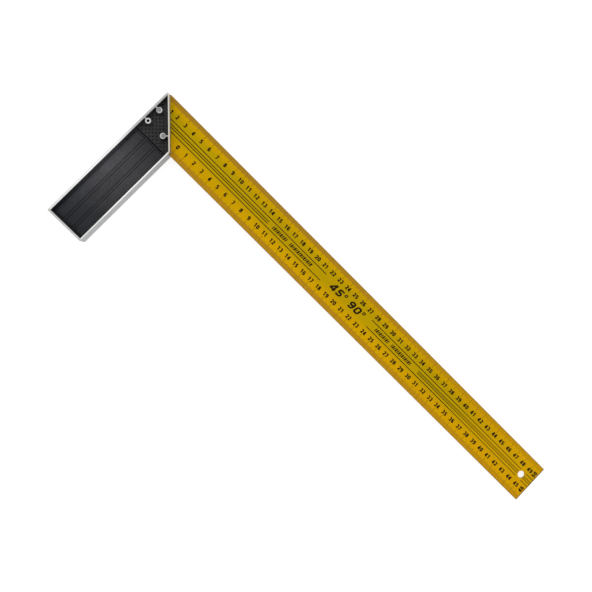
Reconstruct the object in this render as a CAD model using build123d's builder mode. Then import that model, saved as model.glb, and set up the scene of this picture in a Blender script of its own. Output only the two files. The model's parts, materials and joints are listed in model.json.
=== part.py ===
"""Try and mitre square: a flat lacquered steel rule riveted into a die-cast stock with moulded inserts.

The inside corner of the square is at x = 0, y = 0. The blade runs along +X, the stock along -Y,
and the underside of the stock's rim lies in the plane z = 0.
"""

import os
from math import cos, radians, sin, sqrt

from build123d import *

# Blade, in millimetres. Its scale counts from the outer face of the stock to the tip.
BLADE_REACH = 500.0
BLADE_WIDTH = 40.0
BLADE_THICKNESS = 1.0
BLADE_TIP_RADIUS = 0.6
BLADE_EMBED = 1.2  # how far inside the stock's outer face the hidden end of the blade stops
HANGING_HOLE_RADIUS = 3.4
HANGING_HOLE_FROM_TIP = 13.7
HANGING_HOLE_FROM_OUTER_EDGE = 19.2

# Stock: a frame of four walls round a thin web, open on both faces.
STOCK_LENGTH = 150.0
STOCK_WIDTH = 39.0
STOCK_THICKNESS = 20.0
OUTER_WALL = 2.0
INNER_WALL = 1.65
END_WALL = 1.85
MITRE_WALL = 1.6
MITRE_SHIFT = 0.75  # how far the mitre plane meets the blade's outer edge inside the stock's outer face
TIP_CUT = 1.8  # how far the blunted tip of the head stays below the blade's outer edge
WEB_THICKNESS = 3.0
STOCK_CORNER_RADIUS = 0.8
RIM_OUTER_EDGE_RADIUS = 0.5
RIM_INNER_EDGE_RADIUS = 0.25

# Three bosses tie the blade to the stock, each joined to the nearest wall by a thin neck.
BOSS_RADIUS = 2.75
NECK_WIDTH = 1.1
OUTER_BOSS = (-STOCK_WIDTH + 6.3, BLADE_WIDTH - 18.35)
MIDDLE_BOSS = (-STOCK_WIDTH + 6.05, BLADE_WIDTH - 32.15)
MITRE_BOSS = (-STOCK_WIDTH + 24.35, BLADE_WIDTH - 32.45)
NECK_ANGLES = {OUTER_BOSS: 180.0, MIDDLE_BOSS: 180.0, MITRE_BOSS: 45.0}
NECK_REACH = 5.5

# Rivets through the bosses. The solid ones sit off the boss's centre, towards its neck.
RIVET_RADIUS = 1.85
RIVET_SHIFT = 0.45
RIVET_RECESS = 0.12
RIVET_EDGE_RADIUS = 0.3
TUBE_RADIUS = 1.6
TUBE_BORE_RADIUS = 1.2
TUBE_BORE_DEPTH = 7.0
FLANGE_RADIUS = 2.2
FLANGE_THICKNESS = 0.5
FLANGE_EDGE_RADIUS = 0.15

# Inserts: trays that line the recess in each face of the stock.
PLATE_THICKNESS = 2.0
PLATE_CLEARANCE = 0.05
LIP_THICKNESS = 0.6
LIP_DROP = 0.4  # how far the tops of the lips stay below the rim
COLLAR_THICKNESS = 0.4
LEDGE_WIDTH = 0.7
SEAM_LEDGE_WIDTH = 1.1
GROOVE_WIDTH = 0.5
GROOVE_DEPTH = 0.5
PAD_EDGE_RADIUS = 0.2
SEAM_GAP = 1.0
SEAM_DEPTH = 1.6
SEAM_EDGE_RADIUS = 0.25
SEAM_Y = BLADE_WIDTH - 43.0
PAD_CENTRE_X = -STOCK_WIDTH + 20.05
RIB_PITCH = 10.7
RIB_WIDTH = 1.9
DIMPLE_RADIUS = 0.75
DIMPLE_DEPTH = 0.55
DIMPLE_PITCH = 3.15
DIMPLE_START = (-STOCK_WIDTH + 12.75, BLADE_WIDTH - 20.65)
DIMPLE_SPAN = 12  # rows and columns tried each way from the first dimple
DIMPLE_MARGIN = 0.95
DIMPLE_BOSS_CLEARANCE = 1.3

MID_HEIGHT = STOCK_THICKNESS / 2
WEB_TOP = MID_HEIGHT + WEB_THICKNESS / 2
PLATE_TOP = WEB_TOP + PLATE_THICKNESS
LIP_TOP = STOCK_THICKNESS - LIP_DROP
OUTER_X = -STOCK_WIDTH
END_Y = BLADE_WIDTH - STOCK_LENGTH
MID_PLANE = Plane.XY.offset(MID_HEIGHT)
BOSSES = (OUTER_BOSS, MIDDLE_BOSS, MITRE_BOSS)
RIVETED_BOSSES = {"outer_rivet": OUTER_BOSS, "mitre_rivet": MITRE_BOSS}
DIMPLE_BALL = (DIMPLE_RADIUS**2 + DIMPLE_DEPTH**2) / (2 * DIMPLE_DEPTH)  # radius of the ball that cuts them


def mitre_y(x, inset):
    """Where the mitre line, moved into the stock by inset, is along Y at x."""
    return BLADE_WIDTH + MITRE_SHIFT - (x - OUTER_X) - inset * sqrt(2)


def stock_outline():
    """The stock's five corners, with the sharp tip of its head cut blunt."""
    tip_y = BLADE_WIDTH - TIP_CUT
    tip_inner_x = OUTER_X + MITRE_SHIFT + TIP_CUT
    return [(OUTER_X, END_Y), (0, END_Y), (0, mitre_y(0, 0)), (tip_inner_x, tip_y), (OUTER_X, tip_y)]


def recess_outline(inset):
    """The four corners of the recess inside the walls, moved inwards by inset."""
    left = OUTER_X + OUTER_WALL + inset
    right = -INNER_WALL - inset
    bottom = END_Y + END_WALL + inset
    mitre = MITRE_WALL + inset
    return [(left, bottom), (right, bottom), (right, mitre_y(right, mitre)), (left, mitre_y(left, mitre))]


def corner_outline(inset, seam):
    """The part of the recess beyond the seam line, where the corner plate lies."""
    bottom_left, bottom_right, top_right, top_left = recess_outline(inset)
    return [(bottom_left[0], seam), (bottom_right[0], seam), top_right, top_left]


def panel_outline(inset, seam):
    """The part of the recess below the seam line, where the grip panel lies."""
    bottom_left, bottom_right, _, _ = recess_outline(inset)
    return [bottom_left, bottom_right, (bottom_right[0], seam), (bottom_left[0], seam)]


def polygon(points, mode=Mode.ADD):
    """A closed polygon, left where its points are, in the sketch that is being built."""
    Polygon(*points, align=None, mode=mode)


def bosses_and_necks(grow, mode=Mode.ADD):
    """The plan of the three bosses and their necks, grown by a margin, in the current sketch."""
    for boss in BOSSES:
        with Locations(boss):
            Circle(BOSS_RADIUS + grow, mode=mode)
        with Locations(Location((*boss, 0), (0, 0, NECK_ANGLES[boss]))):
            Rectangle(NECK_REACH, NECK_WIDTH + 2 * grow, align=(Align.MIN, Align.CENTER), mode=mode)


def rivet_point(boss):
    """Where the solid rivet stands in a boss."""
    angle = radians(NECK_ANGLES[boss])
    return (boss[0] + RIVET_SHIFT * cos(angle), boss[1] + RIVET_SHIFT * sin(angle))


def in_dimple_field(point):
    """Is the point far enough from the corner plate's edges and from the bosses?"""
    left, right = OUTER_X + OUTER_WALL + LIP_THICKNESS, -INNER_WALL - LIP_THICKNESS
    x, y = point
    inside = left + DIMPLE_MARGIN <= x <= right - DIMPLE_MARGIN
    below_mitre = y <= mitre_y(x, MITRE_WALL + LIP_THICKNESS + DIMPLE_MARGIN)
    above_seam = y >= SEAM_Y + DIMPLE_MARGIN
    clear = all(
        sqrt((x - boss[0]) ** 2 + (y - boss[1]) ** 2) >= BOSS_RADIUS + DIMPLE_BOSS_CLEARANCE for boss in BOSSES
    )
    return inside and below_mitre and above_seam and clear


def dimple_points():
    """The centres of the dimples, on a square grid in line with the mitre."""
    step = DIMPLE_PITCH / sqrt(2)
    span = range(-DIMPLE_SPAN, DIMPLE_SPAN + 1)
    points = [
        (DIMPLE_START[0] + (column - row) * step, DIMPLE_START[1] - (column + row) * step)
        for row in span
        for column in span
    ]
    return [point for point in points if in_dimple_field(point)]


def pad_columns():
    """The left and right edges of the three pads on the grip panel."""
    border = LIP_THICKNESS + LEDGE_WIDTH
    left = OUTER_X + OUTER_WALL + border
    right = -INNER_WALL - border
    half_rib = RIB_WIDTH / 2
    first, second = PAD_CENTRE_X - RIB_PITCH / 2, PAD_CENTRE_X + RIB_PITCH / 2
    return [(left, first - half_rib), (first + half_rib, second - half_rib), (second + half_rib, right)]


def seam_edges(piece, y):
    """The top edges of an insert that run along the seam at y."""
    level = piece.edges().filter_by(Axis.X).filter_by_position(Axis.Z, PLATE_TOP, PLATE_TOP)
    return level.filter_by_position(Axis.Y, y, y)


def export(part, name):
    """Names the finished piece and writes it."""
    part.label = name
    export_step(part, f"parts/{name}.step")


RIVET_POINTS = {name: rivet_point(boss) for name, boss in RIVETED_BOSSES.items()}

os.makedirs("parts", exist_ok=True)

# Blade: one flat strip, with a hanging hole near the tip and three rivet holes inside the stock.
tip_x = OUTER_X + BLADE_REACH
blade_start_x = OUTER_X + BLADE_EMBED
blade_corners = [(blade_start_x, 0), (tip_x, 0), (tip_x, BLADE_WIDTH), (blade_start_x, BLADE_WIDTH)]

with BuildPart() as blade:
    with BuildSketch(MID_PLANE):
        polygon(blade_corners)
        with Locations((tip_x - HANGING_HOLE_FROM_TIP, BLADE_WIDTH - HANGING_HOLE_FROM_OUTER_EDGE)):
            Circle(HANGING_HOLE_RADIUS, mode=Mode.SUBTRACT)
        with Locations(*RIVET_POINTS.values()):
            Circle(RIVET_RADIUS, mode=Mode.SUBTRACT)
        with Locations(MIDDLE_BOSS):
            Circle(TUBE_RADIUS, mode=Mode.SUBTRACT)
    extrude(amount=BLADE_THICKNESS / 2, both=True)
    fillet(blade.edges().filter_by(Axis.Z).group_by(Axis.X)[-1], BLADE_TIP_RADIUS)
export(blade.part, "blade")

# Stock frame: walls, web, bosses and necks in one casting, slotted for the blade.
with BuildPart() as stock_frame:
    with BuildSketch():
        polygon(stock_outline())
        fillet(vertices(), STOCK_CORNER_RADIUS)
    extrude(amount=STOCK_THICKNESS)
    with BuildSketch(Plane.XY.offset(WEB_TOP)):
        polygon(recess_outline(0))
        bosses_and_necks(0, mode=Mode.SUBTRACT)
    extrude(amount=STOCK_THICKNESS - WEB_TOP, mode=Mode.SUBTRACT)
    with BuildSketch():
        polygon(recess_outline(0))
        bosses_and_necks(0, mode=Mode.SUBTRACT)
    extrude(amount=STOCK_THICKNESS - WEB_TOP, mode=Mode.SUBTRACT)
    for rim_index in (0, -1):
        fillet(stock_frame.faces().sort_by(Axis.Z)[rim_index].outer_wire().edges(), RIM_OUTER_EDGE_RADIUS)
        fillet(stock_frame.faces().sort_by(Axis.Z)[rim_index].inner_wires().edges(), RIM_INNER_EDGE_RADIUS)
    with BuildSketch(MID_PLANE):
        polygon(blade_corners)
    extrude(amount=BLADE_THICKNESS / 2, both=True, mode=Mode.SUBTRACT)
    with Locations(*[(*point, MID_HEIGHT) for point in RIVET_POINTS.values()]):
        Cylinder(RIVET_RADIUS, STOCK_THICKNESS, mode=Mode.SUBTRACT)
    with Locations((*MIDDLE_BOSS, MID_HEIGHT)):
        Cylinder(TUBE_RADIUS, STOCK_THICKNESS, mode=Mode.SUBTRACT)
    with Locations((*MIDDLE_BOSS, 0), (*MIDDLE_BOSS, STOCK_THICKNESS)):
        Cylinder(FLANGE_RADIUS, 2 * FLANGE_THICKNESS, mode=Mode.SUBTRACT)
export(stock_frame.part, "stock_frame")

# Two solid rivets, their heads set a little below the ground faces of the bosses.
for rivet_name, point in RIVET_POINTS.items():
    with BuildPart() as rivet:
        with BuildSketch(MID_PLANE):
            with Locations(point):
                Circle(RIVET_RADIUS)
        extrude(amount=STOCK_THICKNESS / 2 - RIVET_RECESS, both=True)
        fillet(rivet.edges(), RIVET_EDGE_RADIUS)
    export(rivet.part, rivet_name)

# One tubular rivet with a flange and a blind bore at each end.
with BuildPart() as tubular_rivet:
    with BuildSketch(MID_PLANE):
        with Locations(MIDDLE_BOSS):
            Circle(TUBE_RADIUS)
    extrude(amount=STOCK_THICKNESS / 2, both=True)
    for flange_start in (0, STOCK_THICKNESS - FLANGE_THICKNESS):
        with BuildSketch(Plane.XY.offset(flange_start)):
            with Locations(MIDDLE_BOSS):
                Circle(FLANGE_RADIUS)
        extrude(amount=FLANGE_THICKNESS)
    with Locations((*MIDDLE_BOSS, 0), (*MIDDLE_BOSS, STOCK_THICKNESS)):
        Cylinder(TUBE_BORE_RADIUS, 2 * TUBE_BORE_DEPTH, mode=Mode.SUBTRACT)
    fillet(tubular_rivet.faces().filter_by(Axis.Z).group_by(Axis.Z)[-1].edges(), FLANGE_EDGE_RADIUS)
    fillet(tubular_rivet.faces().filter_by(Axis.Z).group_by(Axis.Z)[0].edges(), FLANGE_EDGE_RADIUS)
export(tubular_rivet.part, "tubular_rivet")

# Corner plate: a dimpled base, lips along three walls, and a collar round each boss and its neck.
base_seam = SEAM_Y - SEAM_GAP / 2
face_seam = SEAM_Y + SEAM_GAP / 2

with BuildPart() as front_corner_plate:
    with BuildSketch(Plane.XY.offset(WEB_TOP)):
        polygon(corner_outline(PLATE_CLEARANCE, base_seam))
    extrude(amount=PLATE_THICKNESS - SEAM_DEPTH)
    with BuildSketch(Plane.XY.offset(PLATE_TOP - SEAM_DEPTH)):
        polygon(corner_outline(PLATE_CLEARANCE, face_seam))
    extrude(amount=SEAM_DEPTH)
    with BuildSketch(Plane.XY.offset(WEB_TOP)):
        polygon(corner_outline(PLATE_CLEARANCE, base_seam))
        polygon(corner_outline(LIP_THICKNESS, base_seam - LIP_THICKNESS), mode=Mode.SUBTRACT)
        bosses_and_necks(COLLAR_THICKNESS)
        polygon(corner_outline(PLATE_CLEARANCE, base_seam), mode=Mode.INTERSECT)
    extrude(amount=LIP_TOP - WEB_TOP)
    with BuildSketch(Plane.XY.offset(WEB_TOP)):
        bosses_and_necks(PLATE_CLEARANCE)
    extrude(amount=STOCK_THICKNESS - WEB_TOP, mode=Mode.SUBTRACT)
    with Locations(*[(x, y, PLATE_TOP - DIMPLE_DEPTH + DIMPLE_BALL) for x, y in dimple_points()]):
        Sphere(DIMPLE_BALL, mode=Mode.SUBTRACT)
    fillet(seam_edges(front_corner_plate, face_seam), SEAM_EDGE_RADIUS)
export(front_corner_plate.part, "front_corner_plate")

# Grip panel: three long pads in a border, with lips along three walls.
with BuildPart() as front_grip_panel:
    with BuildSketch(Plane.XY.offset(WEB_TOP)):
        polygon(panel_outline(PLATE_CLEARANCE, base_seam))
    extrude(amount=PLATE_THICKNESS)
    fillet(seam_edges(front_grip_panel, base_seam), SEAM_EDGE_RADIUS)
    with BuildSketch(Plane.XY.offset(WEB_TOP)):
        polygon(panel_outline(PLATE_CLEARANCE, base_seam))
        polygon(panel_outline(LIP_THICKNESS, base_seam + LIP_THICKNESS), mode=Mode.SUBTRACT)
    extrude(amount=LIP_TOP - WEB_TOP)
    pad_bottom = END_Y + END_WALL + LIP_THICKNESS + LEDGE_WIDTH
    pad_top = base_seam - SEAM_LEDGE_WIDTH
    with BuildSketch(Plane.XY.offset(PLATE_TOP)):
        for pad_left, pad_right in pad_columns():
            width, height = pad_right - pad_left, pad_top - pad_bottom
            with Locations(((pad_left + pad_right) / 2, (pad_bottom + pad_top) / 2)):
                Rectangle(width, height)
                Rectangle(width - 2 * GROOVE_WIDTH, height - 2 * GROOVE_WIDTH, mode=Mode.SUBTRACT)
    extrude(amount=-GROOVE_DEPTH, mode=Mode.SUBTRACT)
    tops = front_grip_panel.faces().filter_by(Axis.Z).filter_by_position(Axis.Z, PLATE_TOP, PLATE_TOP)
    pads = [face for face in tops if not face.inner_wires()]
    fillet([edge for pad in pads for edge in pad.edges()], PAD_EDGE_RADIUS)
export(front_grip_panel.part, "front_grip_panel")

# The inserts in the underside are the same pieces, mirrored through the blade's plane.
export(mirror(front_corner_plate.part, about=MID_PLANE), "back_corner_plate")
export(mirror(front_grip_panel.part, about=MID_PLANE), "back_grip_panel")
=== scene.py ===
"""Looks of the try and mitre square: printed scales, materials, floor, lights and camera.

The CAD nodes stay as they are. The printing on both faces of the blade is made here as thin closed
meshes. Lengths in the printing section are millimetres in the row frame, and MM turns them into metres.
"""

import json
from math import cos, radians, sin, sqrt

import bmesh
import bpy
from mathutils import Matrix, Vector
from mathutils.geometry import delaunay_2d_cdt


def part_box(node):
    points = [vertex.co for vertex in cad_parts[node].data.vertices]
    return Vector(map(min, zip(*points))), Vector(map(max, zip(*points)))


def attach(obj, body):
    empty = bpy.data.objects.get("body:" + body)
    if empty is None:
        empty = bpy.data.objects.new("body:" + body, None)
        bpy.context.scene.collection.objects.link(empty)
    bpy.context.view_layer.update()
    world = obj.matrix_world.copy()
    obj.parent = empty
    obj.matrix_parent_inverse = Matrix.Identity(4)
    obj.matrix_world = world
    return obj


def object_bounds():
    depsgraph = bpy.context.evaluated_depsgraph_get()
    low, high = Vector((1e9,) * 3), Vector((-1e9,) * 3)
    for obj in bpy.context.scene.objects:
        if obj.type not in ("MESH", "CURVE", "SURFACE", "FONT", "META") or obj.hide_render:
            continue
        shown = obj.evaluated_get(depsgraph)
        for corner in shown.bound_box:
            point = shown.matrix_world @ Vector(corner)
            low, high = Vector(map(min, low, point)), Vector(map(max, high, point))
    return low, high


MM = 0.001

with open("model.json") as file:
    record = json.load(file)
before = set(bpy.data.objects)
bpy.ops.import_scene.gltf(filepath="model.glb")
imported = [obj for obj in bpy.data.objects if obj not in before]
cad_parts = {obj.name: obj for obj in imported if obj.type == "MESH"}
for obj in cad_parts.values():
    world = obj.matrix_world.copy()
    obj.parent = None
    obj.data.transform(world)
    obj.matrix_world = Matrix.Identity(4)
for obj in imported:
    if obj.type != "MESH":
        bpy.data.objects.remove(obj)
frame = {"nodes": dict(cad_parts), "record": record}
cad_low, cad_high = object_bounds()
blade_low, blade_high = (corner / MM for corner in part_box("blade"))
stock_low, stock_high = (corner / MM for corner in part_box("stock_frame"))
hanging_hole = next(mount for mount in frame["record"]["mounts"] if mount["name"] == "hanging_hole")

OUTER_EDGE = blade_high.y
INNER_EDGE = blade_low.y
TIP = blade_high.x
OUTER_FACE = stock_low.x
INNER_FACE = stock_high.x
STOCK_END = stock_low.y
BLADE_LEVEL = (stock_low.z + stock_high.z) / 2
HOLE_X, HOLE_Y = (value / MM for value in hanging_hole["pos_m"][:2])
HOLE_RADIUS = hanging_hole["dims"]["r_mm"]

# The mitre plane meets the blade's outer edge this far inside the stock's outer face.
MITRE_SHIFT = 0.75
MITRE_SUM = OUTER_FACE + OUTER_EDGE + MITRE_SHIFT  # x + y of every point on the mitre plane

# Printing: how thick the ink is, and where each thing lies, counted inwards from an edge of the blade.
INK_PROUD = 0.03
INK_SUNK = 0.02
INK_MARGIN = 0.25
SMALLEST_AREA = 1e-5  # thinner triangles are left out
JOIN_DISTANCE = 1e-5  # nearer corners become one
TICK_WIDTH = 0.17
CENTIMETRE_TICK_WIDTH = 0.25
TICK_START = 0.15
MILLIMETRE_TICK = 4.3
HALF_TICK = 5.6
CENTIMETRE_TICK = 7.2
INNER_TICK_OFFSET = 0.6
NUMERAL_HEIGHT = 4.05
NUMERAL_WIDTH = 2.35
NUMERAL_GAP = 0.7
NUMERAL_STROKE = 1.1
FIRST_NUMERAL_SHIFT = 2.8
OUTER_NUMERAL_INSET = 10.4
INNER_NUMERAL_INSET = 10.6
LAST_NUMERAL_FROM_TIP = 3.7
LINE_WIDTH = 0.75
LINE_INSETS = (15.6, 18.75, 20.75, 23.7)
OUTER_LINE_BREAK = (216.0, 277.0)
INNER_LINE_BREAK = (144.5, 343.0)
MARK_CENTRE = 249.2
MARK_HEIGHT = 7.4
MARK_GLYPH_WIDTH = 6.4
MARK_GAP = 1.2
MARK_STROKE = 1.85
MARK_SLANT = 0.24
MARK_SPACING = 23.6
MARK_TEXTS = ("45o", "90o")
MARK_ABOVE_MIDDLE = 1.0
ORNAMENT_SPANS = ((150.0, 169.5), (171.8, 200.8), (285.0, 304.5), (306.5, 334.0))
ORNAMENT_HEIGHT = 3.4
ORNAMENT_STEP = 2.05
ORNAMENT_ABOVE_MIDDLE = 0.4
DASH_HALF_WIDTHS = (0.48, 0.8)


# Glyphs: strokes through a box one unit high, from which the numerals are drawn. The letter o stands
# for the degree sign, whose stroke is thinner by the factor DEGREE_STROKE.

GLYPH_WIDTH = 0.6
STROKE = 0.19
DEGREE_STROKE = 0.55
SAME_POINT = 1e-9
LEFT, RIGHT = STROKE / 2, GLYPH_WIDTH - STROKE / 2
BOTTOM, TOP = STROKE / 2, 1 - STROKE / 2
MIDDLE = GLYPH_WIDTH / 2
BOWL = RIGHT - MIDDLE


def arc(centre, radii, start, end, steps=14):
    """Points along part of an ellipse, from one angle to another, in degrees."""
    angles = [radians(start + (end - start) * step / steps) for step in range(steps + 1)]
    return [(centre[0] + radii[0] * cos(angle), centre[1] + radii[1] * sin(angle)) for angle in angles]


def turned(strokes):
    """The same strokes turned by half a turn inside their box."""
    return [[(GLYPH_WIDTH - x, 1 - y) for x, y in stroke] for stroke in strokes]


SIX = [
    arc((MIDDLE, 0.31), (BOWL, 0.31 - BOTTOM), 0, 360),
    arc((MIDDLE, 0.68), (BOWL, TOP - 0.68), 28, 180) + [(LEFT, 0.31)],
]
GLYPHS = {
    "0": [
        arc((MIDDLE, 0.66), (BOWL, TOP - 0.66), 0, 180)
        + arc((MIDDLE, 0.34), (BOWL, TOP - 0.66), 180, 360)
        + [(RIGHT, 0.66)]
    ],
    "1": [[(0.36, 0), (0.36, 1)], [(0.36, 0.91), (0.10, 0.70)]],
    "2": [
        arc((MIDDLE, 0.69), (BOWL, TOP - 0.69), 165, -35) + [(LEFT, BOTTOM)],
        [(0, BOTTOM), (GLYPH_WIDTH, BOTTOM)],
    ],
    "3": [
        arc((0.29, 0.72), (0.19, TOP - 0.72), 155, -90),
        arc((0.29, 0.305), (0.22, 0.305 - BOTTOM), 90, -158),
    ],
    "4": [[(0.43, 0), (0.43, 1)], [(0.44, 1.03), (0.06, 0.28)], [(0, 0.25), (GLYPH_WIDTH, 0.25)]],
    "5": [
        [(0.09, TOP), (0.56, TOP)],
        [(0.15, TOP), (0.12, 0.47)],
        arc((0.29, 0.32), (0.22, 0.32 - BOTTOM), 135, -158),
    ],
    "6": SIX,
    "7": [[(0.02, TOP), (0.58, TOP)], [(0.50, TOP), (0.20, -0.06)]],
    "8": [
        arc((MIDDLE, 0.725), (0.185, TOP - 0.725), 0, 360),
        arc((MIDDLE, 0.295), (0.215, 0.295 - BOTTOM), 0, 360),
    ],
    "9": turned(SIX),
    "o": [arc((0.15, 0.79), (0.105, 0.155), 0, 360, steps=20)],
}


def side(point, ahead, half):
    """The point half a stroke's width to the left of point, for a stroke that heads ahead."""
    length = sqrt(ahead[0] ** 2 + ahead[1] ** 2)
    return (point[0] - ahead[1] / length * half, point[1] + ahead[0] / length * half)


def stroke_quads(points, width):
    """One quadrilateral for each step of a stroke, joined without gaps where it bends."""
    closed = abs(points[0][0] - points[-1][0]) + abs(points[0][1] - points[-1][1]) < SAME_POINT
    last = len(points) - 1
    left, right = [], []
    for index, point in enumerate(points):
        before = points[index - 1] if index else (points[-2] if closed else point)
        after = points[index + 1] if index < last else (points[1] if closed else point)
        ahead = (after[0] - before[0], after[1] - before[1])
        left.append(side(point, ahead, width / 2))
        right.append(side(point, ahead, -width / 2))
    return [[left[i], right[i], right[i + 1], left[i + 1]] for i in range(last)]


def cut(outline, inside):
    """The part of a convex outline where inside, which is linear in the point, isn't negative."""
    kept = []
    for index, point in enumerate(outline):
        before = outline[index - 1]
        here, there = inside(point), inside(before)
        if here * there < 0:
            share = there / (there - here)
            crossing_x = before[0] + share * (point[0] - before[0])
            crossing_y = before[1] + share * (point[1] - before[1])
            kept.append((crossing_x, crossing_y))
        if here >= 0:
            kept.append(point)
    return kept


def text_outlines(text, height, width, gap, stroke, slant=0.0, turn=0):
    """The outlines of a short text round the origin, leaning by slant and turned by quarter turns."""
    outlines = []
    start = -(len(text) * (width + gap) - gap) / 2
    for place, character in enumerate(text):
        left = start + place * (width + gap)
        thickness = stroke * DEGREE_STROKE if character == "o" else stroke
        for points in GLYPHS[character]:
            scaled = [(left + x / GLYPH_WIDTH * width, (y - 0.5) * height) for x, y in points]
            for quad in stroke_quads(scaled, thickness):
                below_top = cut(quad, lambda point: height / 2 - point[1])
                outlines.append(cut(below_top, lambda point: point[1] + height / 2))
    outlines = [[(x + slant * y, y) for x, y in outline] for outline in outlines]
    for _ in range(turn):
        outlines = [[(-y, x) for x, y in outline] for outline in outlines]
    return outlines


def bar(x0, x1, y0, y1):
    """A rectangle with its corners in order."""
    return [(x0, y0), (x1, y0), (x1, y1), (x0, y1)]


# What is printed, as convex outlines in the plan of the blade.


def tick_length(millimetre):
    """How long a tick is, by its place in the centimetre."""
    if millimetre % 10 == 0:
        return CENTIMETRE_TICK
    return HALF_TICK if millimetre % 5 == 0 else MILLIMETRE_TICK


def tick_outlines():
    """The millimetre ticks along both edges."""
    outlines = []
    scales = ((OUTER_FACE, OUTER_EDGE, -1, 0.0), (INNER_FACE, INNER_EDGE, 1, INNER_TICK_OFFSET))
    for zero, edge, inwards, offset in scales:
        for millimetre in range(int(TIP - zero)):
            x = zero + millimetre
            half = (TICK_WIDTH if millimetre % 10 else CENTIMETRE_TICK_WIDTH) / 2
            end = edge + inwards * (tick_length(millimetre) + offset)
            start = edge + inwards * TICK_START
            outlines.append(bar(x - half, x + half, min(start, end), max(start, end)))
    return outlines


def numeral(number, centre, flip, turn=0):
    """One centimetre number round its centre."""
    sizes = (NUMERAL_HEIGHT, NUMERAL_WIDTH, NUMERAL_GAP, NUMERAL_STROKE)
    return moved(text_outlines(str(number), *sizes, turn=turn), centre, flip)


def numeral_outlines(flip):
    """The centimetre numbers of both scales.

    The outer scale's first number is moved clear of the head, and the last ones are turned along the tip.
    """
    outlines = []
    scales = (
        (OUTER_FACE, 1, FIRST_NUMERAL_SHIFT, OUTER_EDGE - OUTER_NUMERAL_INSET),
        (INNER_FACE, 0, 0.0, INNER_EDGE + INNER_NUMERAL_INSET),
    )
    for zero, first, shift, y in scales:
        last = round((TIP - zero) / 10)
        outlines += numeral(first, (zero + 10 * first + shift, y), flip)
        for centimetre in range(first + 1, last):
            outlines += numeral(centimetre, (zero + 10 * centimetre, y), flip)
        outlines += numeral(last, (TIP - LAST_NUMERAL_FROM_TIP, y), flip, turn=1)
    return outlines


def moved(outlines, centre, flip):
    """The outlines moved to centre, and turned over where they are read from below."""
    up = -1 if flip else 1
    return [[(centre[0] + x, centre[1] + up * y) for x, y in outline] for outline in outlines]


def line_outlines():
    """The four long lines, broken for the mark, the ornaments and the hanging hole."""
    outlines = []
    for index, inset in enumerate(LINE_INSETS):
        outer = index in (0, 3)
        break_start, break_end = OUTER_LINE_BREAK if outer else INNER_LINE_BREAK
        y = OUTER_EDGE - inset
        clear = HOLE_RADIUS + INK_MARGIN
        reach = sqrt(max(clear**2 - (y - HOLE_Y) ** 2, 0)) if abs(y - HOLE_Y) < clear else 0.0
        reach = max(reach, HOLE_RADIUS if outer else 0.0)
        spans = [
            (OUTER_FACE, OUTER_FACE + break_start),
            (OUTER_FACE + break_end, HOLE_X - reach),
            (HOLE_X + reach, TIP - INK_MARGIN),
        ]
        outlines += [bar(x0, x1, y - LINE_WIDTH / 2, y + LINE_WIDTH / 2) for x0, x1 in spans]
    return outlines


def mark_outlines(flip):
    """A plain mark between the lines: the two angles that the tool gives, in leaning numerals."""
    outlines = []
    sizes = (MARK_HEIGHT, MARK_GLYPH_WIDTH, MARK_GAP, MARK_STROKE)
    y = (OUTER_EDGE + INNER_EDGE) / 2 + MARK_ABOVE_MIDDLE
    for place, text in enumerate(MARK_TEXTS):
        x = OUTER_FACE + MARK_CENTRE + (place - 0.5) * MARK_SPACING
        outlines += moved(text_outlines(text, *sizes, slant=MARK_SLANT), (x, y), flip)
    return outlines


def ornament_outlines():
    """Rows of leaning dashes, narrow and wide by turns, in the gap of the inner lines."""
    outlines = []
    y = (OUTER_EDGE + INNER_EDGE) / 2 + ORNAMENT_ABOVE_MIDDLE
    rise = ORNAMENT_HEIGHT / 2
    lean = MARK_SLANT * rise
    for start, end in ORNAMENT_SPANS:
        for index in range(int((end - start) / ORNAMENT_STEP)):
            half = DASH_HALF_WIDTHS[index % 2]
            x = OUTER_FACE + start + (index + 0.5) * ORNAMENT_STEP
            lower_side = [(x - half - lean, y - rise), (x + half - lean, y - rise)]
            upper_side = [(x + half + lean, y + rise), (x - half + lean, y + rise)]
            outlines.append(lower_side + upper_side)
    return outlines


# From outlines to closed meshes.


def kept_side(point):
    """How far a point is outside the stock's mitre face, less the margin left clear of ink."""
    return (point[0] + point[1] - MITRE_SUM) / sqrt(2) - INK_MARGIN / 2


def area(outline):
    """The area inside an outline, which is negative if its points run clockwise."""
    return sum(p[0] * q[1] - q[0] * p[1] for p, q in zip(outline, outline[1:] + outline[:1])) / 2


def union_mesh(bm, outlines, low, high):
    """Adds to bm one closed slab over the union of convex outlines, from z low to z high."""
    points, faces = [], []
    for outline in outlines:
        for second, third in zip(outline[1:], outline[2:]):
            triangle = [outline[0], second, third]
            if abs(area(triangle)) > SMALLEST_AREA:
                faces.append(list(range(len(points), len(points) + 3)))
                anticlockwise = triangle if area(triangle) > 0 else triangle[::-1]
                points += [Vector(point) for point in anticlockwise]
    found, _, triangles, _, _, sources = delaunay_2d_cdt(points, [], faces, 1, JOIN_DISTANCE)
    kept = [triangle for triangle, source in zip(triangles, sources) if source]
    upper = [bm.verts.new((point.x * MM, point.y * MM, high * MM)) for point in found]
    lower = [bm.verts.new((point.x * MM, point.y * MM, low * MM)) for point in found]
    edges = {(a, b) for triangle in kept for a, b in zip(triangle, triangle[1:] + triangle[:1])}
    for triangle in kept:
        bm.faces.new([upper[i] for i in triangle])
        bm.faces.new([lower[i] for i in reversed(triangle)])
    for a, b in sorted(edges):
        if (b, a) not in edges:
            bm.faces.new([lower[a], lower[b], upper[b], upper[a]])


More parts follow.
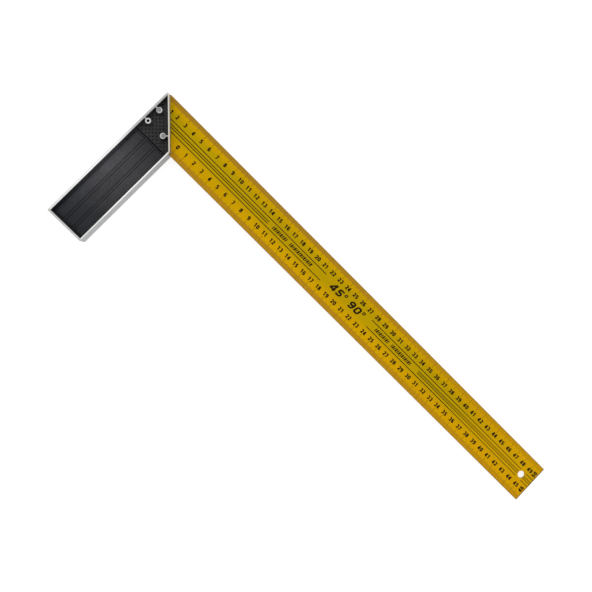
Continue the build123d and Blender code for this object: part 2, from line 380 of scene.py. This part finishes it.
def print_piece(name, outlines, flip):
    """One printed piece on the upper face of the blade, or on its underside if flip is true."""
    bm = bmesh.new()
    if flip:
        low, high = blade_low.z - INK_PROUD, blade_low.z + INK_SUNK
    else:
        low, high = blade_high.z - INK_SUNK, blade_high.z + INK_PROUD
    union_mesh(bm, [cut(outline, kept_side) for outline in outlines], low, high)
    loose = [vertex for vertex in bm.verts if not vertex.link_faces]
    bmesh.ops.delete(bm, geom=loose, context="VERTS")
    mesh = bpy.data.meshes.new(name)
    bm.to_mesh(mesh)
    bm.free()
    piece = bpy.data.objects.new(name, mesh)
    bpy.context.scene.collection.objects.link(piece)
    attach(piece, "root")
    return piece


printed = []
for face, flip in (("front", False), ("back", True)):
    printed += [
        print_piece(f"scales_{face}", tick_outlines(), flip),
        print_piece(f"numerals_{face}", numeral_outlines(flip), flip),
        print_piece(f"lines_{face}", line_outlines(), flip),
        print_piece(f"mark_{face}", mark_outlines(flip), flip),
        print_piece(f"ornament_{face}", ornament_outlines(), flip),
    ]


# Materials

SEAM_Y = -3.0  # the seam between a corner plate and a grip panel
PLATE_LEVEL = 3.5  # how far the tops of the inserts' plates are from the middle of the blade
END_RIM = (2.3, 1.6)  # the end wall's rim starts this far from the end of the stock
# The painted reflection of the blade on the mitre's rim starts over MITRE_RIM.
MITRE_RIM = (3.1, 2.5)  # the mitre wall's rim starts this far below the mitre's sum of x and y
INNER_RIM = (6, 4)  # the inner wall's rim starts this far from the inner face
BAND_BLUR = 0.25  # half the soft border of the bands under the ticks
# The painted shade in the tubular rivet's bore ends between these distances from its axis.
BORE_EDGE = (1.25, 1.45)  # how far from its axis the tubular rivet turns from dark to bright
FLOOR_GLOW = 0.8

# The spans along x or y over which the looks of a material change.
LACQUER_HEAD = (0, 150)
LACQUER_LENGTH = (100, 440)
LACQUER_TIP = (330, 430)
LACQUER_OUTER = (28.5, 33.5)
LACQUER_INNER = (20, 9)
LINES_TIP = (330, 380)
RIM_HEAD = (3, -27)
RIM_FAR = (-68, -92)
SIDE_HEAD = (-8, -48)
# Spans of the grip's painted highlight (GRIP_NEAR, GRIP_FAR) and of its painted light (GRIP_ACROSS).
GRIP_NEAR = (2, -40)
GRIP_FAR = (-42, -102)
GRIP_ACROSS = (-19, -34)


class Nodes:
    """A short way to write a material's nodes."""

    def __init__(self, name):
        self.material = bpy.data.materials.new(name)
        self.material.use_nodes = True
        self.tree = self.material.node_tree
        self.shader = self.tree.nodes["Principled BSDF"]

    def add(self, kind, **settings):
        """A new node with its settings."""
        node = self.tree.nodes.new(kind)
        for key, value in settings.items():
            setattr(node, key, value)
        return node

    def wire(self, target, value):
        """Sets a socket to a value, or links another socket to it."""
        if isinstance(value, bpy.types.NodeSocket):
            self.tree.links.new(value, target)
        else:
            target.default_value = value

    def place(self, scale=(1, 1, 1)):
        """The row-frame position in millimetres, stretched by scale."""
        coordinates = self.add("ShaderNodeTexCoord").outputs["Object"]
        mapping = self.add("ShaderNodeMapping")
        self.wire(mapping.inputs["Vector"], coordinates)
        mapping.inputs["Scale"].default_value = [factor / MM for factor in scale]
        return mapping.outputs["Vector"]

    def noise(self, size, detail=2.0, stretch=(1, 1, 1), rough=0.5):
        """Noise with features of about size millimetres, stretched along some axes."""
        node = self.add("ShaderNodeTexNoise")
        self.wire(node.inputs["Vector"], self.place(tuple(1 / factor for factor in stretch)))
        node.inputs["Scale"].default_value = 1 / size
        node.inputs["Detail"].default_value = detail
        node.inputs["Roughness"].default_value = rough
        return node.outputs["Fac"]

    def spots(self, size):
        """The distance to the nearest of scattered points, about size millimetres apart."""
        node = self.add("ShaderNodeTexVoronoi")
        self.wire(node.inputs["Vector"], self.place())
        node.inputs["Scale"].default_value = 1 / size
        return node.outputs["Distance"]

    def ramp(self, value, low, high, start=0.0, end=1.0):
        """Maps low..high of a value to start..end, smoothly and without overshoot."""
        node = self.add("ShaderNodeMapRange", interpolation_type="SMOOTHSTEP")
        self.wire(node.inputs["Value"], value)
        limits = {"From Min": low, "From Max": high, "To Min": start, "To Max": end}
        for socket, number in limits.items():
            node.inputs[socket].default_value = number
        return node.outputs["Result"]

    def math(self, operation, a, b=0.0):
        """A sum, product or the like of two numbers."""
        node = self.add("ShaderNodeMath", operation=operation)
        self.wire(node.inputs[0], a)
        self.wire(node.inputs[1], b)
        return node.outputs[0]

    def mix(self, factor, a, b):
        """A mix of two colours."""
        node = self.add("ShaderNodeMix", data_type="RGBA")
        self.wire(node.inputs["Factor"], factor)
        for socket, colour in zip([s for s in node.inputs if s.type == "RGBA"], (a, b)):
            self.wire(socket, (*colour, 1) if isinstance(colour, tuple) else colour)
        return [s for s in node.outputs if s.type == "RGBA"][0]

    def scaled(self, colour, factor):
        """A colour made lighter or darker by a factor."""
        node = self.add("ShaderNodeVectorMath", operation="SCALE")
        self.wire(node.inputs[0], colour)
        self.wire(node.inputs["Scale"], factor)
        return node.outputs["Vector"]

    def axis(self, vector, name):
        """The X, Y or Z of a vector."""
        node = self.add("ShaderNodeSeparateXYZ")
        self.wire(node.inputs["Vector"], vector)
        return node.outputs[name]

    def bump(self, height, distance, strength=1.0, under=None):
        """A bump whose full height is distance millimetres."""
        node = self.add("ShaderNodeBump")
        self.wire(node.inputs["Height"], height)
        node.inputs["Distance"].default_value = distance * MM
        node.inputs["Strength"].default_value = strength
        if under is not None:
            self.wire(node.inputs["Normal"], under)
        return node.outputs["Normal"]

    def finish(self, **sockets):
        """Sets the shader's sockets, whose names have _ for a space, and gives back the material."""
        for name, value in sockets.items():
            socket = self.shader.inputs[name.replace("_", " ")]
            self.wire(socket, (*value, 1) if isinstance(value, tuple) else value)
        return self.material


def flatness(nodes):
    """1 on faces that look up or down, and 0 on the sides."""
    normal = nodes.add("ShaderNodeNewGeometry").outputs["True Normal"]
    return nodes.ramp(nodes.math("ABSOLUTE", nodes.axis(normal, "Z")), 0.75, 0.97)


def lacquer():
    """Golden yellow lacquer over steel.

    It is greener along the middle and warmer towards both edges and the tip, with a browner band under
    the ticks, a fine orange peel and darker edges.
    """
    nodes = Nodes("blade_lacquer")
    place = nodes.place()
    x = nodes.axis(place, "X")
    y = nodes.axis(place, "Y")
    along = nodes.ramp(x, *LACQUER_LENGTH)
    near_tip = nodes.ramp(x, *LACQUER_TIP)
    middle = nodes.mix(nodes.ramp(x, *LACQUER_HEAD), (0.426, 0.280, 0.001), (0.445, 0.288, 0.001))
    middle = nodes.mix(near_tip, middle, (0.55, 0.31, 0.001))
    warm = nodes.mix(along, (0.57, 0.317, 0.0005), (0.61, 0.318, 0.0005))
    outer_warmth = nodes.ramp(y, *LACQUER_OUTER, 0, 0.7)
    inner_warmth = nodes.ramp(y, *LACQUER_INNER, 0, 0.95)
    warmth = nodes.math("MAXIMUM", outer_warmth, inner_warmth)
    colour = nodes.mix(warmth, middle, warm)
    clouds = nodes.ramp(nodes.noise(26, detail=4, stretch=(3, 1, 1)), 0.3, 0.7, 0.96, 1.04)
    colour = nodes.scaled(colour, clouds)
    outer_border = OUTER_EDGE - MILLIMETRE_TICK
    inner_border = INNER_EDGE + MILLIMETRE_TICK + INNER_TICK_OFFSET
    outer_band = nodes.ramp(y, outer_border - BAND_BLUR, outer_border + BAND_BLUR)
    inner_band = nodes.ramp(y, inner_border - BAND_BLUR, inner_border + BAND_BLUR, 1, 0)
    outer_colour = nodes.mix(along, (0.45, 0.237, 0.016), (0.60, 0.311, 0.003))
    inner_colour = nodes.mix(along, (0.51, 0.262, 0.012), (0.59, 0.297, 0.005))
    colour = nodes.mix(outer_band, colour, outer_colour)
    colour = nodes.mix(inner_band, colour, inner_colour)
    # The blade is darker along both edges and at the tip, by a noisy share.
    outer_dark_edge = nodes.ramp(y, OUTER_EDGE - 0.6, OUTER_EDGE - 0.1)
    inner_dark_edge = nodes.ramp(y, INNER_EDGE + 0.1, INNER_EDGE + 0.5, 1, 0)
    edge = nodes.math("MAXIMUM", outer_dark_edge, inner_dark_edge)
    edge = nodes.math("MAXIMUM", edge, nodes.ramp(x, TIP - 1.6, TIP - 0.2))
    dark_edge = nodes.math("MULTIPLY", edge, nodes.ramp(nodes.noise(3, detail=3), 0.3, 0.55, 0.5, 0.9))
    colour = nodes.mix(dark_edge, colour, (0.10, 0.075, 0.03))
    dust = nodes.ramp(nodes.spots(9), 0.02, 0.05, 1, 0)
    colour = nodes.mix(nodes.math("MULTIPLY", dust, 0.4), colour, (0.10, 0.05, 0.01))
    colour = nodes.mix(flatness(nodes), (0.10, 0.085, 0.05), colour)
    roughness = nodes.ramp(nodes.noise(7, detail=3, stretch=(5, 1, 1)), 0.3, 0.7, 0.42, 0.52)
    peel = nodes.bump(nodes.noise(0.9, detail=1), 0.012)
    normal = nodes.bump(nodes.noise(0.35, detail=1), 0.004, under=peel)
    return nodes.finish(Base_Color=colour, Roughness=roughness, Specular_IOR_Level=0.06,
                        Specular_Tint=(1.0, 0.75, 0.1), Normal=normal)


def ink(name, thinning=0.0):
    """Matt brown-black printing ink, slightly uneven. It is thinned by a share towards the tip."""
    nodes = Nodes(name)
    x = nodes.axis(nodes.place(), "X")
    colour = nodes.mix(nodes.noise(1.2, detail=2), (0.010, 0.006, 0.003), (0.022, 0.013, 0.006))
    colour = nodes.mix(nodes.ramp(x, *LINES_TIP, 0, thinning), colour, (0.50, 0.29, 0.002))
    roughness = nodes.ramp(nodes.noise(0.5), 0.3, 0.7, 0.55, 0.7)
    return nodes.finish(Base_Color=colour, Roughness=roughness, Specular_IOR_Level=0.05,
                        Specular_Tint=(1.0, 0.7, 0.3), Normal=nodes.bump(nodes.noise(0.2), 0.004))


def casting(name, head_rim_brightness, shaded_bore_axis=None):
    """Die-cast aluminium: rims and bosses ground bright, the sides duller, a parting line at mid height.

    The flat faces are brightest along the grip and near the inner face, and darker round the head and at
    the far end. On the mitre they carry a darker, yellowish painted reflection of the blade.
    It has painted shade, near-black, inside a bore, if the bore's axis is given.
    """
    nodes = Nodes(name)
    place = nodes.place()
    x, y, z = (nodes.axis(place, letter) for letter in "XYZ")
    flat = flatness(nodes)
    scratches = nodes.noise(0.16, detail=3, stretch=(1, 40, 1))
    cross = nodes.noise(0.3, detail=2, stretch=(20, 1, 1))
    cast = nodes.noise(0.8, detail=3)
    stain = nodes.ramp(nodes.noise(9, detail=4), 0.35, 0.65)
    side_colour = nodes.mix(stain, (0.35, 0.357, 0.361), (0.39, 0.396, 0.40))
    side_colour = nodes.scaled(side_colour, nodes.ramp(y, *SIDE_HEAD, 0.84, 1.06))
    grinding = nodes.math("MULTIPLY", scratches, stain)
    rim_colour = nodes.mix(grinding, (0.62, 0.617, 0.61), (0.53, 0.526, 0.515))
    # The flat faces are made darker round the head and at the far end, and brighter along the grip and
    # near the inner face.
    along = nodes.ramp(y, *RIM_HEAD, head_rim_brightness, 1.24)
    inner_rim = nodes.ramp(x, INNER_FACE - INNER_RIM[0], INNER_FACE - INNER_RIM[1], 0, 1.15)
    along = nodes.math("MAXIMUM", along, inner_rim)
    along = nodes.math("MULTIPLY", along, nodes.ramp(y, *RIM_FAR, 1, 0.86))
    end_rim = nodes.ramp(y, STOCK_END + END_RIM[0], STOCK_END + END_RIM[1], 1, 0.7)
    along = nodes.math("MULTIPLY", along, end_rim)
    rim_colour = nodes.scaled(rim_colour, along)
    # Painted reflection: the mitre's rim is tinted darker yellow-grey, as if it reflected the blade's
    # yellow lacquer.
    mitre_reflection = nodes.ramp(nodes.math("ADD", x, y), MITRE_SUM - MITRE_RIM[0], MITRE_SUM - MITRE_RIM[1])
    rim_colour = nodes.mix(mitre_reflection, rim_colour, (0.50, 0.465, 0.39))
    colour = nodes.mix(flat, side_colour, rim_colour)
    # Painted shade: the bore of the tubular rivet is painted near-black.
    if shaded_bore_axis is not None:
        off_axis = nodes.add("ShaderNodeVectorMath", operation="DISTANCE")
        flattened = nodes.add("ShaderNodeCombineXYZ")
        nodes.wire(flattened.inputs["X"], x)
        nodes.wire(flattened.inputs["Y"], y)
        nodes.wire(off_axis.inputs[0], flattened.outputs["Vector"])
        off_axis.inputs[1].default_value = shaded_bore_axis
        outside_bore = nodes.ramp(off_axis.outputs["Value"], *BORE_EDGE)
        colour = nodes.mix(outside_bore, (0.02, 0.02, 0.02), colour)
    ground_roughness = nodes.ramp(flat, 0, 1, 0.45, 0.34)
    roughness = nodes.math("ADD", ground_roughness, nodes.ramp(cross, 0.3, 0.7, 0.0, 0.1))
    ground_height = nodes.math("MULTIPLY", scratches, flat)
    height = nodes.math("ADD", ground_height, nodes.math("MULTIPLY", cast, 0.6))
    off_middle = nodes.math("ABSOLUTE", nodes.math("SUBTRACT", z, BLADE_LEVEL))
    parting = nodes.bump(nodes.ramp(off_middle, 0.05, 0.3, 1, 0), 0.05)
    return nodes.finish(Base_Color=colour, Metallic=1.0, Roughness=roughness,
                        Normal=nodes.bump(height, 0.01, under=parting))


def rivet_steel():
    """Dull satin steel with small dents from setting."""
    nodes = Nodes("rivet_steel")
    brushed = nodes.noise(0.14, detail=2, stretch=(1, 12, 1))
    colour = nodes.mix(brushed, (0.15, 0.153, 0.155), (0.23, 0.234, 0.237))
    height = nodes.math("ADD", nodes.math("MULTIPLY", brushed, 0.3), nodes.noise(1.1, detail=1))
    roughness = nodes.ramp(brushed, 0.3, 0.7, 0.34, 0.5)
    return nodes.finish(Base_Color=colour, Metallic=1.0, Roughness=roughness,
                        Normal=nodes.bump(height, 0.02))


def plastic():
    """Black moulded plastic with a fine spark-eroded grain, faint scuffs and dust.

    It has a painted highlight along the middle of the grip, painted light near the outer wall
    and painted shade in the grooves.
    """
    nodes = Nodes("moulded_plastic")
    x, y, z = (nodes.axis(nodes.place(), letter) for letter in "XYZ")
    # Painted highlight: the grip is paler around y = -40 mm and darker towards the head and the far end.
    colour = nodes.mix(nodes.ramp(y, *GRIP_NEAR), (0.012, 0.012, 0.0155), (0.043, 0.042, 0.0475))
    colour = nodes.mix(nodes.ramp(y, *GRIP_FAR), colour, (0.0075, 0.0095, 0.0135))
    corner = nodes.ramp(y, SEAM_Y - 0.5, SEAM_Y + 0.5)
    colour = nodes.mix(corner, colour, (0.0155, 0.0155, 0.0165))
    # Painted light: the grip is made paler towards the outer wall; patches and scuffs vary its tone at
    # random.
    painted_light_and_scuffs = nodes.ramp(x, *GRIP_ACROSS, 0.88, 1.5)
    patches = nodes.ramp(nodes.noise(14, detail=3), 0.3, 0.7, 0.9, 1.1)
    scuffs = nodes.ramp(nodes.noise(1.8, detail=3), 0.3, 0.7, 0.88, 1.12)
    painted_light_and_scuffs = nodes.math("MULTIPLY", painted_light_and_scuffs, patches)
    painted_light_and_scuffs = nodes.math("MULTIPLY", painted_light_and_scuffs, scuffs)
    colour = nodes.scaled(colour, painted_light_and_scuffs)
    speckle = nodes.ramp(nodes.noise(0.7, detail=3, rough=0.7), 0.55, 0.8)
    colour = nodes.mix(nodes.math("MULTIPLY", speckle, 0.3), colour, (0.06, 0.06, 0.062))
    dust = nodes.ramp(nodes.spots(5.5), 0.03, 0.07, 1, 0)
    colour = nodes.mix(nodes.math("MULTIPLY", dust, 0.6), colour, (0.16, 0.16, 0.16))
    # Painted shade: the plastic is darkened, and made rougher, below the tops of the plates, in the seam,
    # grooves and dimples.
    from_middle = nodes.math("ABSOLUTE", nodes.math("SUBTRACT", z, BLADE_LEVEL))
    groove_shade = nodes.ramp(from_middle, PLATE_LEVEL - 0.1, PLATE_LEVEL - 0.35)
    colour = nodes.scaled(colour, nodes.ramp(groove_shade, 0, 1, 1, 0.3))
    roughness = nodes.math("ADD", nodes.ramp(nodes.noise(6, detail=4), 0.3, 0.7, 0.42, 0.55),
                           nodes.ramp(groove_shade, 0, 1, 0, 0.4))
    return nodes.finish(Base_Color=colour, Roughness=roughness, Specular_IOR_Level=0.22,
                        Normal=nodes.bump(nodes.noise(0.33, detail=2), 0.02))


def pale_floor():
    """A matt sheet lit from inside, like a light table, so that it is nearly white with faint shadows."""
    nodes = Nodes("pale_floor")
    colour = nodes.mix(nodes.noise(60, detail=2), (0.27, 0.27, 0.27), (0.29, 0.29, 0.29))
    return nodes.finish(Base_Color=colour, Roughness=0.8, Specular_IOR_Level=0.2,
                        Emission_Color=(1.0, 1.0, 1.0), Emission_Strength=FLOOR_GLOW)


def paint(piece, material):
    """Gives a piece one material."""
    piece.data.materials.clear()
    piece.data.materials.append(material)


tube_low, tube_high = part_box("tubular_rivet")
tube_middle = (tube_low + tube_high) / 2 / MM
tube_axis = (tube_middle.x, tube_middle.y, 0)
node_materials = {
    "blade": lacquer(),
    "stock_frame": casting("ground_casting", head_rim_brightness=0.62),
    "tubular_rivet": casting("tubular_rivet_metal", head_rim_brightness=0.85, shaded_bore_axis=tube_axis),
}
solid_rivet = rivet_steel()
node_materials |= {node: solid_rivet for node in ("outer_rivet", "mitre_rivet")}
moulding = plastic()
for face in ("front", "back"):
    node_materials |= {f"{face}_corner_plate": moulding, f"{face}_grip_panel": moulding}
for node, material in node_materials.items():
    paint(frame["nodes"][node], material)
solid_ink = ink("printing_ink")
line_ink = ink("line_ink", thinning=0.22)
for piece in printed:
    paint(piece, line_ink if piece.name.startswith("lines") else solid_ink)


# Floor, light and camera

FLOOR_HALF = 30.0
FLOOR_DROP = 0.0002
SKY_AT_HORIZON = 0.5
SKY_OVERHEAD = 1.4
# Each softbox's place, with x and y from the middle of the part, its size and its power in watts.
SOFTBOXES = {
    "key_softbox": ((-1.2, 1.2, 1.8), 1.8, 6),
    "fill_softbox": ((1.6, -1.2, 1.6), 2.0, 3),
}


def make_floor():
    """A square floor just under the part."""
    mesh = bpy.data.meshes.new("floor")
    signs = [(-1, -1), (1, -1), (1, 1), (-1, 1)]
    corners = [(x * FLOOR_HALF, y * FLOOR_HALF, -FLOOR_DROP) for x, y in signs]
    mesh.from_pydata(corners, [], [(0, 1, 2, 3)])
    floor = bpy.data.objects.new("floor", mesh)
    bpy.context.scene.collection.objects.link(floor)
    paint(floor, pale_floor())


def softbox(name, place, target, size, power):
    """A square area light of size metres that looks at target."""
    light = bpy.data.lights.new(name, "AREA")
    light.shape = "SQUARE"
    light.size = size
    light.energy = power
    lamp = bpy.data.objects.new(name, light)
    bpy.context.scene.collection.objects.link(lamp)
    lamp.location = place
    lamp.rotation_euler = (Vector(target) - Vector(place)).to_track_quat("-Z", "Y").to_euler()


def make_light():
    """A white sky that is brighter overhead, and two faint softboxes."""
    world = bpy.data.worlds.new("studio")
    world.use_nodes = True
    tree = world.node_tree
    direction = tree.nodes.new("ShaderNodeTexCoord").outputs["Generated"]
    split = tree.nodes.new("ShaderNodeSeparateXYZ")
    tree.links.new(direction, split.inputs["Vector"])
    square = tree.nodes.new("ShaderNodeMath")
    square.operation = "MULTIPLY"
    tree.links.new(split.outputs["Z"], square.inputs[0])
    tree.links.new(split.outputs["Z"], square.inputs[1])
    rise = tree.nodes.new("ShaderNodeMapRange")
    rise.inputs["To Min"].default_value = SKY_AT_HORIZON
    rise.inputs["To Max"].default_value = SKY_OVERHEAD
    tree.links.new(square.outputs["Value"], rise.inputs["Value"])
    tree.links.new(rise.outputs["Result"], tree.nodes["Background"].inputs["Strength"])
    tree.nodes["Background"].inputs["Color"].default_value = (1.0, 1.0, 1.0, 1)
    bpy.context.scene.world = world
    middle = (cad_low + cad_high) / 2
    for name, ((x, y, z), size, power) in SOFTBOXES.items():
        softbox(name, (middle.x + x, middle.y + y, z), middle, size, power)


# The camera's place in metres, its Euler angles in degrees, its lens and sensor in millimetres.
CAMERA_PLACE = (0.11369, -0.04937, 0.64345)
CAMERA_ANGLES = (-1.0872, -6.1894, 44.6078)
CAMERA_LENS = 41.8726
SENSOR = 36.0
CLIP_START = 0.01


def make_camera():
    """The camera, matched to the photograph."""
    data = bpy.data.cameras.new("camera")
    data.lens = CAMERA_LENS
    data.sensor_width = SENSOR
    data.clip_start = CLIP_START
    camera = bpy.data.objects.new("camera", data)
    bpy.context.scene.collection.objects.link(camera)
    camera.location = CAMERA_PLACE
    camera.rotation_euler = [radians(angle) for angle in CAMERA_ANGLES]
    bpy.context.scene.camera = camera


make_floor()
make_light()
make_camera()
bpy.context.scene.view_settings.view_transform = "Standard"
